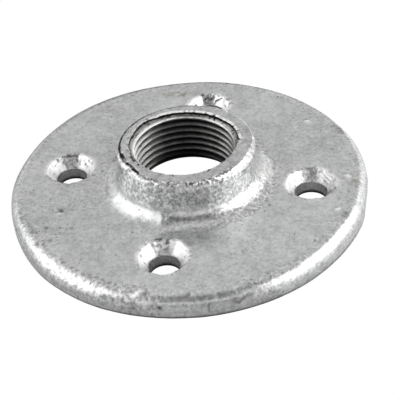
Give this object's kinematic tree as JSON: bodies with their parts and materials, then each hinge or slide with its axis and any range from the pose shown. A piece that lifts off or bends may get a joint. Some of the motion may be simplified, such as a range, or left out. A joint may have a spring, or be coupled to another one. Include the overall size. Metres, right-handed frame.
{
  "type": "floor flange",
  "caption": "Round cast floor flange with a raised hub threaded for pipe and countersunk screw holes around the plate, to stand or hang a pipe on a floor, wall or bench.",
  "frame": {"origin": "centre of the flat base, on the pipe's axis", "axes": "+Z along the pipe's axis, out of the hub; the screw holes lie on +X, +Y, -X and -Y"},
  "size_m": [0.0888, 0.0888, 0.0165],
  "materials": {
    "galvanised_iron": "zinc-coated casting, satin grey; the pipe thread is cut bright after coating"
  },
  "bodies": {
    "root": {"floor_flange": "galvanised_iron"}
  },
  "joints": []
}
